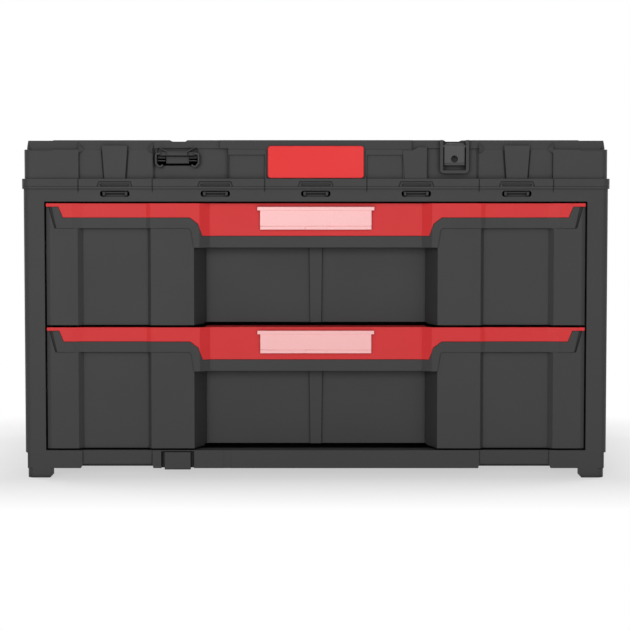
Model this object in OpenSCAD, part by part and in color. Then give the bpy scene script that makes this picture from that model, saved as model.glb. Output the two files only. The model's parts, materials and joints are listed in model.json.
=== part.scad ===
// Portable tool box with two drawers, for stacking.
// Origin: middle of the underside of the feet. +X right, -Y front, +Z up.

/* [Cabinet] */
// Width of the cabinet at its top edge
cabinet_w = 583.4; // [576:0.2:600]
// Depth of the cabinet, front frame to back wall
cabinet_d = 382; // [376:1:400]
// How far each side draws in from the top edge to the foot line
side_draft = 0.2; // [0.1:0.1:3]
// Height of the line where the sides step in above the feet
foot_line_z = 25; // [20:0.5:26]
// How far the sides step in at that line
foot_step = 2.4; // [0.5:0.1:3]
// Thickness of the moulded walls
wall = 3.1; // [2.4:0.1:3.6]
// Radius of the upright corners
corner_r = 7; // [5:0.5:14]
// Height of the lower edge of the skirt above the ground
skirt_z = 9.5; // [7:0.5:12]
// Extra height of the skirt's raised lengths
skirt_rise = 4; // [1:0.5:5]
// Underside of the cabinet floor
floor_z = 16; // [15:0.5:18]
// Depth of the front frame round the drawers
frame_t = 20; // [14:1:26]
// Width of the front frame beside the drawers
side_frame = 21.4; // [20:0.1:24]
// Height of the sill, the lower edge of the drawer opening
sill_z = 27.6; // [27:0.2:32]
// Height of the rail above the drawers, up to the parting line
top_rail_h = 15.1; // [14:0.1:20]
// Height of the flange that carries the cover
flange_h = 2.4; // [2:0.1:3]
// How far the flange and the cover's rim stand out all round
rim_out = 1.5; // [0.8:0.1:3]

/* [Feet] */
// Width of a foot
foot_w = 24.5; // [18:0.5:30]
// Length of a foot, front to back
foot_l = 16; // [12:1:60]
// Chamfer on the inner lower edge of a foot
foot_chamfer = 2; // [1:0.5:4]

/* [Drawers] */
// Height of a drawer front
drawer_front_h = 121.8; // [118:0.1:130]
// Gap between the two drawer fronts
drawer_gap = 2; // [0.6:0.1:3]
// Gap between the drawer fronts and the frame
frame_gap = 1.6; // [0.8:0.1:2]
// How far the panels of a drawer front lie behind the frame's face
front_inset = 1; // [0.4:0.1:3]
// How far the middle panel of each half lies behind the others
panel_step = 5; // [1.5:0.5:5]
// Depth of the hand recess under the grip, behind the panels
recess_d = 34; // [26:1:44]
// Height of the grip bar at the middle of a front
grip_h = 44.3; // [40:0.1:52]
// How far the middle of the grip lies behind its ends
grip_step = 6.5; // [4:0.5:8]
// Gap under the tub, behind the front
tub_lift = 1.3; // [1:0.1:6]
// How far the tub runs past its slides at the back
tub_past = 2; // [0:0.5:10]
// How far the rim of the tub lies under the top of its front
tub_drop = 8; // [5:0.5:14]
// Travel of a drawer
drawer_travel = 280; // [200:5:290]

/* [Red trim] */
// Height of the trim along the whole front
trim_top_h = 3.5; // [3:0.1:5]
// Height of the trim over the side panels
trim_side_h = 14.3; // [12:0.1:18]
// Height of the trim at the middle
trim_mid_h = 32.6; // [31:0.1:36]
// Thickness of the trim
trim_t = 2.4; // [1.8:0.1:3]
// Width of the dark border under the trim
border_h = 10.7; // [8:0.1:12]

/* [Label cover] */
// Width of the cover's body
label_w = 111.2; // [90:0.2:130]
// Height of the cover's body
label_h = 19.1; // [16:0.1:22]
// How far its upper lip stands out at each side
label_lip_out = 2.8; // [1:0.1:5]
// Height of the upper lip
label_lip_h = 3.6; // [2:0.1:5]
// Thickness of the cover
label_t = 2.2; // [1.6:0.1:3]

/* [Telescopic slides] */
// Height of a slide
slide_h = 45; // [40:1:50]
// Thickness of a slide, from the cabinet to the tub
slide_w = 12.7; // [12.7:0.1:14]
// Room between a slide and the outside of the back wall
slide_room = 20; // [16:1:40]
// Thickness of the slides' steel
slide_t = 1.2; // [1:0.1:1.4]
// Diameter of the bearing balls
ball_d = 3; // [2.6:0.1:3.2]
// Ball track left free at each end of a cage when the drawer is open
cage_end = 39; // [39:1:60]
// Number of balls along a cage
balls = 6; // [3:1:7]

/* [Cover] */
// Height of the cover's rim
rim_h = 7.7; // [6:0.1:10]
// Height of the cover's walls above the rim
cover_wall_h = 28.9; // [28.9:0.1:32]
// Height of the sloped cap on the walls
cap_h = 9.4; // [9:0.1:12]
// How far the corner pads lie under the top
pad_drop = 0.5; // [0.3:0.1:2]
// Width of a corner pad
pad_w = 29.4; // [24:0.2:34]
// Depth of the two trays in the top
tray_depth = 9; // [5:0.5:9]
// Width of the bare name plate
plate_w = 95.4; // [80:0.2:98]
// Height of the bare name plate
plate_h = 32; // [24:0.2:33]

/* [Carry handle] */
// Width of the handle over its arms
handle_w = 260; // [200:2:280]
// Reach of the handle from its pivots to its grip
handle_reach = 92; // [80:1:110]
// Radius of the handle pins
handle_pin_r = 4; // [3:0.5:5]
// Width of the handle's arms
arm_w = 16; // [12:1:20]

/* [Stacking flap] */
// Width of the flap
flap_w = 20; // [16:0.5:22]
// Height of the flap under its pin
flap_l = 18.8; // [17:0.2:20]
// Diameter of the hole in the flap
flap_hole_d = 7; // [4:0.5:8]
// Radius of the flap's hinge pin
flap_pin_r = 1.5; // [1:0.1:2]

/* [Hidden] */
fine = 48;              // $fn of every true circle
near = 0.3;             // gap that pieces on different bodies keep
pin_gap = 0.05;         // running gap round a pin, on the radius
over = 1;               // how far a cut runs past a face

half_top = cabinet_w / 2;
half_low = half_top - side_draft;
half_foot = half_low - foot_step;
opening_half = half_top - side_frame;   // half width of the drawer opening
front_y = -cabinet_d / 2;
back_y = cabinet_d / 2;

// Drawer places, lower and upper
opening_h = 2 * drawer_front_h + drawer_gap + 2 * frame_gap;
opening_top = sill_z + opening_h;
lower_z = sill_z + frame_gap;
upper_z = lower_z + drawer_front_h + drawer_gap;
part_z = opening_top + top_rail_h;      // parting line of cabinet and cover
front_half = opening_half - frame_gap;  // half width of a drawer front
face_y = front_y + front_inset;         // plane of the outer panels

// Slides: their cabinet face, their middle height over the bottom of a front, their length
slide_face = opening_half;
tub_half = slide_face - slide_w;
slide_mid = drawer_front_h / 2;
slide_y0 = front_y + frame_t + 4;
slide_y1 = back_y - slide_room;
slide_l = slide_y1 - slide_y0;
cage_l = slide_l - drawer_travel / 2 - 2 * cage_end;
post_w = 14;
post_places = [slide_y0 + 0.1 * slide_l, slide_y0 + 0.5 * slide_l, slide_y0 + 0.9 * slide_l];
screw_r = 1.8;
screw_head_r = 3.4;

// Cover heights
rim_top = part_z + rim_h;
wall_top = rim_top + cover_wall_h;
top_z = wall_top + cap_h;
cover_half = half_top - 1;
cover_front = front_y + 0.7;
cover_skin = 3;
clips = 5;                              // snap clips along the front, and along the back
clip_pitch = round(cabinet_w * 0.1714);
bracket_x = -1.378 * clip_pitch;        // middle of the coupler bracket
flap_x = 1.379 * clip_pitch;            // middle of the stacking flap
wall_line = 24.7 - bracket_x;           // where the outer panels of the cover begin
outer_line = 2.363 * clip_pitch;        // where they end
inner_line = [0.508 * clip_pitch, 0.866 * clip_pitch];
seams_x = [inner_line[0], wall_line, outer_line];
pad_x = cover_half - pad_w;

// Edges of the upright facets of a drawer front, from the middle
recess_in = 0.4135 * front_half;
recess_out = 0.4525 * front_half;
facet_a = [0.6126, 0.6245] * front_half;
facet_b = [0.8645, 0.8835] * front_half;
facet_trim = [0.6292, 0.904] * front_half;   // where the trim's wider facets end
end_bevel = [3.7, 1.2];                      // bevel at the ends of a front, in x and y

// ---------------------------------------------------------------- helpers

function arc(c, r, a0, a1, n) =
    [for (i = [0:n]) c + r * [cos(a0 + (a1 - a0) * i / n), sin(a0 + (a1 - a0) * i / n)]];

function round_rect(w, h, r, n = 5) = concat(
    arc([w / 2 - r, h / 2 - r], r, 0, 90, n),
    arc([r - w / 2, h / 2 - r], r, 90, 180, n),
    arc([r - w / 2, r - h / 2], r, 180, 270, n),
    arc([w / 2 - r, r - h / 2], r, 270, 360, n));

// Points of a right half, then their mirror image in reverse
function mirrored(half) = concat(half, [for (i = [len(half) - 1:-1:0]) [-half[i][0], half[i][1]]]);

module along_x(x0, x1) translate([x0, 0, 0]) rotate([90, 0, 90]) linear_extrude(x1 - x0) children();

module along_y(y0, y1) translate([0, y1, 0]) rotate([90, 0, 0]) linear_extrude(y1 - y0) children();

module along_z(z0, z1) translate([0, 0, z0]) linear_extrude(z1 - z0) children();

module box(lo, hi) translate(lo) cube(hi - lo);

module both_sides() {
    children();
    mirror([1, 0, 0]) children();
}

module front_and_back() {
    children();
    mirror([0, 1, 0]) children();
}

module rod_x(x0, x1, y, z, r) translate([x0, y, z]) rotate([0, 90, 0]) cylinder(h = x1 - x0, r = r, $fn = fine);

module rod_y(y0, y1, x, z, r) translate([x, y1, z]) rotate([90, 0, 0]) cylinder(h = y1 - y0, r = r, $fn = fine);

// ---------------------------------------------------------------- cabinet

// Half of the outline seen from the front, open at the top: the walls follow it inwards
function cabinet_half(inset, z0, z1) = [
    [half_foot - inset, z0],
    [half_foot - inset, foot_line_z + inset],
    [half_low - inset, foot_line_z + inset],
    [half_top - inset, z1]];

// The middle length of each half of the lower rail lies back, as on the drawers, and ends higher
rail_step = 1.6;
module rail_cut() {
    lean = 1.8;
    x = [facet_a[0] - 1.6, facet_b[0] + 2.4];
    along_z(-over, sill_z + over)
        polygon([[x[0], front_y - over], [x[0] + rail_step, front_y + rail_step],
                 [x[1] - rail_step, front_y + rail_step], [x[1], front_y - over]]);
    along_y(front_y - over, front_y + wall + over)
        polygon([[x[0], 0], [x[1] + lean / 2, 0], [x[1] + lean / 2, skirt_z],
                 [x[1] - lean / 2, skirt_z + skirt_rise], [x[0] + 0.6, skirt_z + skirt_rise], [x[0], skirt_z]]);
}

module cabinet_block() {
    intersection() {
        along_y(front_y, back_y) polygon(mirrored(cabinet_half(0, skirt_z, part_z)));
        along_z(0, part_z) polygon(round_rect(cabinet_w, cabinet_d, corner_r));
    }
    along_z(part_z - flange_h, part_z)
        polygon(round_rect(cabinet_w + 2 * rim_out, cabinet_d + 2 * rim_out, corner_r + rim_out));
}

// Room behind the front frame, and the hollow channels in the frame itself
module cabinet_cavity() {
    inner = front_y + frame_t;
    along_y(inner, back_y - wall) polygon(mirrored(cabinet_half(wall, floor_z + wall, part_z + over)));
    both_sides() box([opening_half + wall, front_y + wall, sill_z + wall],
                     [half_low - wall, inner + over, part_z + over]);
    box([-half_low + wall, front_y + wall, opening_top + wall],
        [half_low - wall, inner + over, part_z + over]);
    box([-opening_half, front_y - over, sill_z], [opening_half, inner + over, opening_top]);
}

module cabinet_underside() {
    box([-half_foot + wall, front_y + frame_t, -over], [half_foot - wall, back_y - wall, floor_z]);
    box([-opening_half + foot_w, front_y + wall, -over],
        [opening_half - foot_w, front_y + frame_t - wall, sill_z - wall]);
}

// Lattice that stiffens the floor from below
module floor_lattice() {
    rib = 2.4;
    pitch_x = 2 * (half_foot - wall) / 6;
    pitch_y = (cabinet_d - frame_t) / 4;
    for (i = [1:5])
        box([i * pitch_x - half_foot + wall - rib / 2, front_y + frame_t - over, skirt_z + 1],
            [i * pitch_x - half_foot + wall + rib / 2, back_y - over, floor_z + over]);
    for (i = [1:3])
        box([-half_foot + over, front_y + frame_t + i * pitch_y - rib / 2, skirt_z + 1],
            [half_foot - over, front_y + frame_t + i * pitch_y + rib / 2, floor_z + over]);
}

module foot() {
    x0 = half_foot - foot_w;
    intersection() {
        along_y(front_y, front_y + foot_l)
            polygon([[x0, foot_chamfer], [x0 + foot_chamfer, 0], [half_foot, 0],
                     [half_foot, floor_z + wall], [x0, floor_z + wall]]);
        along_z(0, part_z) polygon(round_rect(2 * half_foot, cabinet_d, corner_r));
    }
}

// Hat-shaped posts inside the side walls, above the foot line, carry the slides
module slide_post(y) {
    x0 = slide_face;
    x1 = half_low - wall / 2;
    t = 2.6;
    along_z(foot_line_z, opening_top)
        polygon([[x1, y - post_w / 2], [x0, y - post_w / 2], [x0, y + post_w / 2], [x1, y + post_w / 2],
                 [x1, y + post_w / 2 - t], [x0 + 2 * t, y + post_w / 2 - t],
                 [x0 + 2 * t, y - post_w / 2 + t], [x1, y - post_w / 2 + t]]);
}

// Shallow upright channels in the sides, which follow their draft
channel_depth = 1.4;
seam_w = 1;
seam_d = 0.9;
channel_z = [foot_line_z + 14, part_z - 26];
side_channel_y = cabinet_d / 4;
side_channel_half = 0.12 * cabinet_d;
back_channel_x = 0.326 * cabinet_w;
back_channel_half = 0.123 * cabinet_w;
function side_x(z) = half_low + side_draft * (z - foot_line_z) / (part_z - foot_line_z);
module side_channels() {
    for (y = [-side_channel_y, side_channel_y])
        along_y(y - side_channel_half, y + side_channel_half)
            polygon([[side_x(channel_z[0]) - channel_depth, channel_z[0]],
                     [side_x(channel_z[1]) - channel_depth, channel_z[1]],
                     [side_x(channel_z[1]) + over, channel_z[1] + over],
                     [side_x(channel_z[0]) + over, channel_z[0] - over]]);
}

module back_channels() {
    foot = back_channel_half + 2;
    floor_half = back_channel_half - 2;
    for (x = [-back_channel_x, 0, back_channel_x])
        translate([x, 0, 0]) along_z(channel_z[0], channel_z[1])
            polygon([[-foot, back_y + over], [-floor_half, back_y - channel_depth],
                     [floor_half, back_y - channel_depth], [foot, back_y + over]]);
}

module at_clips() {
    for (i = [0:clips - 1]) translate([(i - (clips - 1) / 2) * clip_pitch, 0, 0]) children();
}

// Slot that takes a clip of the cover
clip_slot_z = [part_z - 10.2, part_z - 4.3];
clip_slot_half = 14.6;
module clip_slot() {
    translate([0, 0, (clip_slot_z[0] + clip_slot_z[1]) / 2])
        along_y(front_y - over, front_y + wall + over)
            polygon(round_rect(2 * clip_slot_half, clip_slot_z[1] - clip_slot_z[0], 2.5, 3));
}

// Fine seam that fades out down the upper rail
module rail_seam(x) {
    flange_y = front_y - rim_out;
    along_x(x - seam_w / 2, x + seam_w / 2)
        polygon([[flange_y - over, part_z + over], [flange_y + seam_d, part_z + over],
                 [flange_y + seam_d, part_z - flange_h], [front_y + seam_d, part_z - flange_h],
                 [front_y - 0.05, opening_top + 8], [flange_y - over, opening_top + 8]]);
}

// Shallow band on the lower rail, right of the hook
module rail_band() {
    along_y(front_y - over, front_y + 0.35) translate([hook_x[1] + 33, 0]) square([7.6, sill_z]);
}

hook_x = [bracket_x - 13.8, bracket_x + 12.3];
hook_z = [8, 26];
hook_pocket_d = 5;
hook_gap = [3.4, 2.8];                  // beside the hook, at the front and at the pocket's floor
module hook_pocket() {
    along_z(-over, hook_z[1] + 0.6)
        polygon([[hook_x[0] - hook_gap[0], front_y - over], [hook_x[0] - hook_gap[1], front_y + hook_pocket_d],
                 [hook_x[1] + hook_gap[1], front_y + hook_pocket_d], [hook_x[1] + hook_gap[0], front_y - over]]);
}

module cabinet_shell() {
    color("#464646")
    difference() {
        union() {
            difference() {
                cabinet_block();
                cabinet_cavity();
                cabinet_underside();
                front_and_back() both_sides() rail_cut();
            }
            floor_lattice();
            both_sides() for (y = post_places) slide_post(y);
            front_and_back() both_sides() foot();
            box([hook_x[0] - hook_gap[0] - wall, front_y + over, skirt_z],
                [hook_x[1] + hook_gap[0] + wall, front_y + frame_t - over, sill_z - over]);
        }
        both_sides() side_channels();
        back_channels();
        front_and_back() at_clips() clip_slot();
        front_and_back() both_sides() for (x = seams_x) rail_seam(x);
        rail_band();
        hook_pocket();
        both_sides() for (y = post_places) for (z = [lower_z, upper_z])
            rod_x(slide_face - over, slide_face + 8, y, z + slide_mid, screw_r + pin_gap);
    }
}

// Block under the front edge that guides a box being stacked, with a hook behind
module stack_hook() {
    color("#424242")
    along_x(hook_x[0], hook_x[1])
        polygon([[front_y - 0.6, hook_z[0] + 1], [front_y + 0.6, hook_z[0]], [front_y + 4, hook_z[0]],
                 [front_y + hook_pocket_d, skirt_z + 1], [front_y + hook_pocket_d, hook_z[1]],
                 [front_y + 0.4, hook_z[1]], [front_y - 0.6, hook_z[1] - 2]]);
}

// ---------------------------------------------------------------- cover

cap_half = [cover_half - 2.2, cover_half - 4.2];   // half width at the foot and top of the cap
cap_y = [cover_front + 3, cover_front + 4.6];      // its front face at foot and top
trays_x = [handle_w / 2 + 26, pad_x - 12];
tray_y = -cover_front - 24;
pivot_y = 22;
pivot_z = top_z - 14;
pocket_half = handle_w / 2 + 4;
pocket_y = [pivot_y - handle_reach - 17, pivot_y + 14];
pocket_floor = top_z - 32;

module cover_cap() {
    intersection() {
        along_y(-cabinet_d, cabinet_d)
            polygon(mirrored([[cap_half[0], wall_top - over], [cap_half[0], wall_top],
                              [cap_half[1], top_z - pad_drop], [pad_x + 0.6, top_z - pad_drop],
                              [pad_x, top_z]]));
        along_x(-cabinet_w, cabinet_w)
            polygon(mirrored([[-cap_y[0], wall_top - over], [-cap_y[0], wall_top], [-cap_y[1], top_z]]));
        along_z(wall_top - over, top_z) polygon(round_rect(2 * cap_half[0], -2 * cap_y[0], corner_r));
    }
}

// Recessed panels between the outer corners and the inner panels
outer_panel_d = 2.6;
module wall_panel_cut() {
    along_z(rim_top, wall_top)
        polygon([[wall_line - 1, cover_front - over], [wall_line - 1, cover_front + outer_panel_d],
                 [outer_line - 1, cover_front + outer_panel_d], [outer_line, cover_front - over]]);
}

// Outline of the rib over an outer clip, wider towards the top
module wall_rib_outline(grow) {
    x = (clips - 1) / 2 * clip_pitch;
    half = [10.3 + grow, 12.8 + grow];
    polygon([[x - half[0], rim_top - over], [x + half[0], rim_top - over],
             [x + half[1], wall_top + 4], [x - half[1], wall_top + 4]]);
}

module wall_rib_groove() {
    along_y(cover_front - over, cover_front + outer_panel_d + 1.4)
        intersection() {
            wall_rib_outline(1.5);
            translate([0, rim_top]) square([cover_half, cover_wall_h]);
        }
}

module wall_rib() {
    along_y(cover_front, cover_front + 6) wall_rib_outline(0);
}

// Wedges that close the upper corners of the outer panels, with the tip towards the panel
module corner_wedge(x, tip) {
    back = cover_front + 7;
    z = [wall_top - 3.7, wall_top - 0.5, top_z - 2];
    intersection() {
        along_y(cover_front - over, back) polygon([[x, z[0]], [tip, z[1]], [x, z[2]]]);
        along_z(z[0] - over, top_z)
            polygon([[x, cover_front], [tip, cover_front + outer_panel_d + 0.6], [tip, back], [x, back]]);
        along_x(min(x, tip) - over, max(x, tip) + over)
            polygon([[cover_front, z[0] - over], [cover_front, wall_top], [cap_y[1], z[2] + over],
                     [back, z[2] + over], [back, z[0] - over]]);
    }
}

// Panels beside the name plate, under the middle cap
middle_cap_z = wall_top - 4.3;
module inner_panel_cut() {
    along_z(rim_top, middle_cap_z)
        polygon([[inner_line[0] - 0.4, cover_front - over], [inner_line[0] + 0.2, cover_front + 1.6],
                 [inner_line[1] - 0.4, cover_front + 1.6], [inner_line[1] + 0.4, cover_front - over]]);
}

middle_cap_half = inner_line[1] + 9;
module middle_cap() {
    along_x(-middle_cap_half, middle_cap_half)
        polygon([[cover_front, middle_cap_z - over], [cover_front, middle_cap_z], [cover_front + 2.4, top_z],
                 [cover_front + 8, top_z], [cover_front + 8, middle_cap_z - over]]);
}

// Deeper panels that carry the coupler at the left and the stacking flap at the right
carrier_d = 5;
carrier_top = wall_top + 1.2;
module carrier_panel(x_in) {
    facet = 2.6;
    along_z(rim_top, carrier_top)
        polygon([[x_in, cover_front - over], [x_in + 0.6, cover_front + carrier_d],
                 [wall_line - facet, cover_front + carrier_d], [wall_line, cover_front + outer_panel_d],
                 [wall_line, cover_front - over]]);
}

// Rib over the clip between the name plate and the stacking flap
module clip_rib() {
    x = [inner_line[1] + 0.6, inner_line[1] + 23.7];
    along_y(cover_front - 0.9, cover_front + carrier_d + over)
        polygon([[x[0] + 1.3, rim_top - over], [x[1], rim_top - over], [x[1] + 0.3, carrier_top + 0.8],
                 [middle_cap_half + 6.5, carrier_top + 1.2], [middle_cap_half + 0.6, wall_top - 0.8],
                 [x[0] - 1, wall_top - 0.8]]);
}

bracket_half = 22.2;
bracket_z = [part_z + 18.6, part_z + 38.2];
bracket_pocket_d = 8;
bracket_pocket_half = 19.8;
module bracket_pocket() {
    box([bracket_x - bracket_pocket_half, cover_front, bracket_z[0] + 2],
        [bracket_x + bracket_pocket_half, cover_front + bracket_pocket_d, bracket_z[1]]);
}

flap_pin_y = cover_front + 3.6;
flap_pin_z = top_z - 6.4;
flap_pocket_half = flap_w / 2 + 1.3;
flap_pocket_z = flap_pin_z - flap_l - 4.8;
flap_pocket_y = cover_front + 10;
module flap_pocket() {
    box([flap_x - flap_pocket_half, cover_front - 2, flap_pocket_z],
        [flap_x + flap_pocket_half, flap_pocket_y, top_z + over]);
}

module flap_frame() {
    w = flap_pocket_half + 3.2;
    along_y(cover_front - 0.8, cover_front + carrier_d + over)
        polygon(concat(arc([flap_x - w + 4, flap_pocket_z - 3.2 + 4], 4, 180, 270, 4),
                       arc([flap_x + w - 4, flap_pocket_z - 3.2 + 4], 4, 270, 360, 4),
                       [[flap_x + w, top_z], [flap_x - w, top_z]]));
}

// Fine step under each corner pad, with a rounded inner corner
module pad_line() {
    z = wall_top - 1.2;
    front_and_back() both_sides()
        along_y(cover_front - over, cover_front + 0.6)
            polygon(concat([[pad_x + 1, wall_top + over]], arc([pad_x + 3, z + 2], 2, 180, 270, 4),
                           [[cover_half + over, z], [cover_half + over, wall_top + over]]));
}

// Notch in the front and back edges of the top
module top_notch() {
    along_y(front_y - over, front_y + 48)
        translate([-bracket_x, top_z])
            polygon([[-7.3, -2], [3.4, -2], [7.7, 0], [7.7, over], [-9.8, over], [-9.8, 0]]);
}

module cover_cavity() {
    difference() {
        box([-cover_half + wall, cover_front + 7.4, part_z - over],
            [cover_half - wall, -cover_front - 7.4, top_z - tray_depth - cover_skin]);
        box([bracket_x - bracket_half, cover_front, part_z - 2],
            [bracket_x + bracket_half, cover_front + bracket_pocket_d + wall, top_z]);
        box([flap_x - flap_pocket_half - 3, cover_front, part_z - 2],
            [flap_x + flap_pocket_half + 3, flap_pocket_y + wall, top_z]);
        box([-pocket_half - wall, pocket_y[0] - wall, pocket_floor - wall],
            [pocket_half + wall, pocket_y[1] + wall, top_z]);
        both_sides() box([pocket_half, pivot_y - 11, pocket_floor - wall], [pocket_half + 12, pivot_y + 11, top_z]);
    }
}

module cover_tray() {
    rib_h = 3;
    difference() {
        box([trays_x[0], -tray_y, top_z - tray_depth], [trays_x[1], tray_y, top_z + over]);
        for (y = [-tray_y * 0.6:tray_y * 0.3:tray_y * 0.61])
            box([trays_x[0] - over, y - 1.5, top_z - tray_depth - over],
                [trays_x[1] + over, y + 1.5, top_z - tray_depth + rib_h]);
    }
}

// The clip's tongue hangs inside the frame, past the slot, and its nose looks out through it
tongue_half = 12.4;
tongue_t = 2.2;
tongue_past = 1;
module clip_tongue() {
    y0 = front_y + wall + 0.15;
    z0 = clip_slot_z[0] + 0.4;
    z1 = clip_slot_z[1] - 0.3;
    tip = clip_slot_z[0] - tongue_past;
    along_x(-tongue_half, tongue_half)
        polygon([[y0, part_z + 4], [y0, z1], [y0 - 1.2, z1 - 0.8], [y0 - 1.2, z1 - 1.8], [y0 + 0.6, z0 + 1.8],
                 [y0 + 0.6, tip], [y0 + tongue_t, tip], [y0 + tongue_t, part_z + 4]]);
    both_sides()
        along_x(tongue_half - 2.6, tongue_half)
            polygon([[y0 + over, z1], [y0 - 1.4, z1], [y0 - 2.2, z1 - 0.8], [y0 - 1.8, z0 + 0.6], [y0 + over, z0]]);
}

// Outline and window over each clip, sunk into the rim
module clip_mark() {
    rim_front = front_y - rim_out;
    line = 1;
    h = 5.1;
    along_y(rim_front - over, rim_front + 0.9)
        difference() {
            polygon([[-18.2, part_z - over], [18.2, part_z - over], [17.8, part_z], [15.9, part_z + h],
                     [-15.9, part_z + h], [-17.8, part_z]]);
            polygon([[-17, part_z - 2 * over], [17, part_z - 2 * over], [16.7, part_z],
                     [15.2, part_z + h - line], [-15.2, part_z + h - line], [-16.7, part_z]]);
        }
    along_y(rim_front - over, rim_front + 1.6)
        translate([0, part_z + 1.6]) polygon(round_rect(29.4, 2.4, 1.1, 3));
}

module rim_seams() {
    rim_front = front_y - rim_out;
    for (x = seams_x)
        box([x - seam_w / 2, rim_front - over, part_z - over], [x + seam_w / 2, rim_front + seam_d, rim_top + over]);
}

module top_cover() {
    color("#484848")
    difference() {
        union() {
            along_z(part_z, rim_top)
                polygon(round_rect(cabinet_w + 2 * rim_out, cabinet_d + 2 * rim_out, corner_r + rim_out));
            difference() {
                along_z(rim_top - over, wall_top) polygon(round_rect(2 * cover_half, -2 * cover_front, corner_r));
                front_and_back() both_sides() wall_panel_cut();
                front_and_back() both_sides() wall_rib_groove();
                front_and_back() both_sides() inner_panel_cut();
            }
            cover_cap();
            front_and_back() middle_cap();
            front_and_back() both_sides() wall_rib();
            front_and_back() both_sides() corner_wedge(outer_line + 0.4, outer_line - 6.6);
            front_and_back() both_sides() corner_wedge(wall_line - 0.6, wall_line + 6.3);
            clip_rib();
            flap_frame();
        }
        mirror([1, 0, 0]) carrier_panel(inner_line[1] + 0.3);
        difference() {
            carrier_panel(inner_line[1] + 20);
            clip_rib();
            flap_frame();
        }
        cover_cavity();
        box([-pocket_half, pocket_y[0], pocket_floor], [pocket_half, pocket_y[1], top_z + over]);
        both_sides() cover_tray();
        front_and_back() both_sides() top_notch();
        pad_line();
        bracket_pocket();
        flap_pocket();
        front_and_back() at_clips() clip_mark();
        front_and_back() both_sides() rim_seams();
        along_y(cover_front - 0.9 - over, cover_front + plate_seat_d)
            translate([0, plate_z]) polygon(round_rect(plate_w + 3.4, plate_h + 1.2, 3.4, 4));
        both_sides() rod_x(pocket_half - over, pocket_half + 8.2, pivot_y, pivot_z, handle_pin_r + pin_gap);
        rod_x(flap_x - flap_pocket_half - 2, flap_x + flap_pocket_half + 2, flap_pin_y, flap_pin_z,
              flap_pin_r + pin_gap);
    }
    color("#484848") front_and_back() at_clips() clip_tongue();
}

plate_z = rim_top + 0.4 + plate_h / 2;
plate_seat_d = 0.8;
plate_t = 1.8;
module name_plate() {
    color("#E84040")
    along_y(cover_front + plate_seat_d - plate_t, cover_front + plate_seat_d)
        translate([0, plate_z]) polygon(round_rect(plate_w, plate_h, 3, 4));
}

// Spring arm seen from the front: it drops from the cross bar and hooks inwards
module bracket_arm() {
    h = bracket_half;
    t = 1.9;
    polygon([[h - 5.8, 15.2], [h - 1.8, 14.8], [h, 13], [h, 4], [h - 3.4, 0.3], [h - 6.4, 0.3], [h - 8.6, 2.4],
             [h - 7.4, 3.7], [h - 5.6, 0.3 + t], [h - 4.2, 0.3 + t], [h - t, 4.8], [h - t, 12.2],
             [h - 2.6, 13], [h - 5.8, 13]]);
}

// Funnel lip over a cross bar and a set-back mouth, between two spring arms
module coupler_bracket() {
    face = cover_front - 0.5;
    seat = cover_front + carrier_d;
    base_y = cover_front + bracket_pocket_d;
    lip = [18.2, 16.2, 10.8, 10.2];
    lip_z = [19.5, 15.6, 16.8];
    bar_z = [12, 15.4];
    mouth_z = [4.3, 11.2];
    body_half = 17.4;
    color("#3C3C3C")
    translate([bracket_x, 0, bracket_z[0]]) {
        along_y(face - 0.3, base_y)
            polygon([[-lip[0], lip_z[0]], [-lip[2], lip_z[1]], [lip[2], lip_z[1]], [lip[0], lip_z[0]],
                     [lip[1], lip_z[0]], [lip[3], lip_z[2]], [-lip[3], lip_z[2]], [-lip[1], lip_z[0]]]);
        box([-lip[3], face, bar_z[0]], [lip[3], base_y, bar_z[1] + 0.4]);
        box([-body_half, cover_front + 2.2, bar_z[0]], [body_half, base_y, bar_z[1] + 0.2]);
        both_sides() along_y(face, seat) bracket_arm();
        box([-lip[2] - 0.6, base_y - 2.9, mouth_z[0]], [lip[2] + 0.6, base_y, mouth_z[1]]);
        box([-bracket_pocket_half + 0.3, base_y - 1.5, 2.4], [bracket_pocket_half - 0.3, base_y, lip_z[0]]);
        for (z = [6.4, 9.2])
            both_sides() box([lip[2] + 1, cover_front + 1.2, z], [bracket_half - 2.8, base_y - over, z + 1.1]);
    }
}

// ---------------------------------------------------------------- carry handle

handle_h = 16;
bar_d = 24;
module arm() {
    x1 = handle_w / 2;
    r = handle_h / 2;
    bar_y = pivot_y - handle_reach;
    along_x(x1 - arm_w, x1)
        translate([0, pivot_z])
            polygon(concat(arc([pivot_y, 0], r, -90, 90, 10),
                           arc([bar_y - bar_d / 2 + 6, r - 6], 6, 90, 180, 4),
                           arc([bar_y - bar_d / 2 + 6, 6 - r], 6, 180, 270, 4)));
}

function grip_section(inset) = round_rect(bar_d - 2 * inset, handle_h - 2 * inset, 6 - inset, 4);

grip_half = 64;
grip_skin = 2.4;
module carry_handle() {
    bar_y = pivot_y - handle_reach;
    color("#3E3E3E")
    difference() {
        union() {
            both_sides() arm();
            along_x(-handle_w / 2 + over, handle_w / 2 - over) translate([bar_y, pivot_z]) polygon(grip_section(0));
        }
        along_x(-grip_half, grip_half) translate([bar_y, pivot_z])
            difference() {
                square([bar_d + 4, handle_h + 4], center = true);
                polygon(grip_section(grip_skin));
            }
        both_sides() rod_x(handle_w / 2 - arm_w - over, handle_w / 2 + over, pivot_y, pivot_z,
                           handle_pin_r + pin_gap);
    }
}

// Soft sleeve on the middle of the bar, with shallow finger waves underneath
module handle_grip() {
    bar_y = pivot_y - handle_reach;
    color("#2A2A2A")
    difference() {
        along_x(-grip_half, grip_half) translate([bar_y, pivot_z])
            difference() {
                polygon(grip_section(0));
                polygon(grip_section(grip_skin));
            }
        for (x = [-48:16:48])
            translate([x, bar_y - bar_d / 2 - 3, pivot_z - handle_h / 2 - 8])
                rotate([-90, 0, 0]) cylinder(h = bar_d + 6, r = 9, $fn = fine);
    }
}

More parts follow.
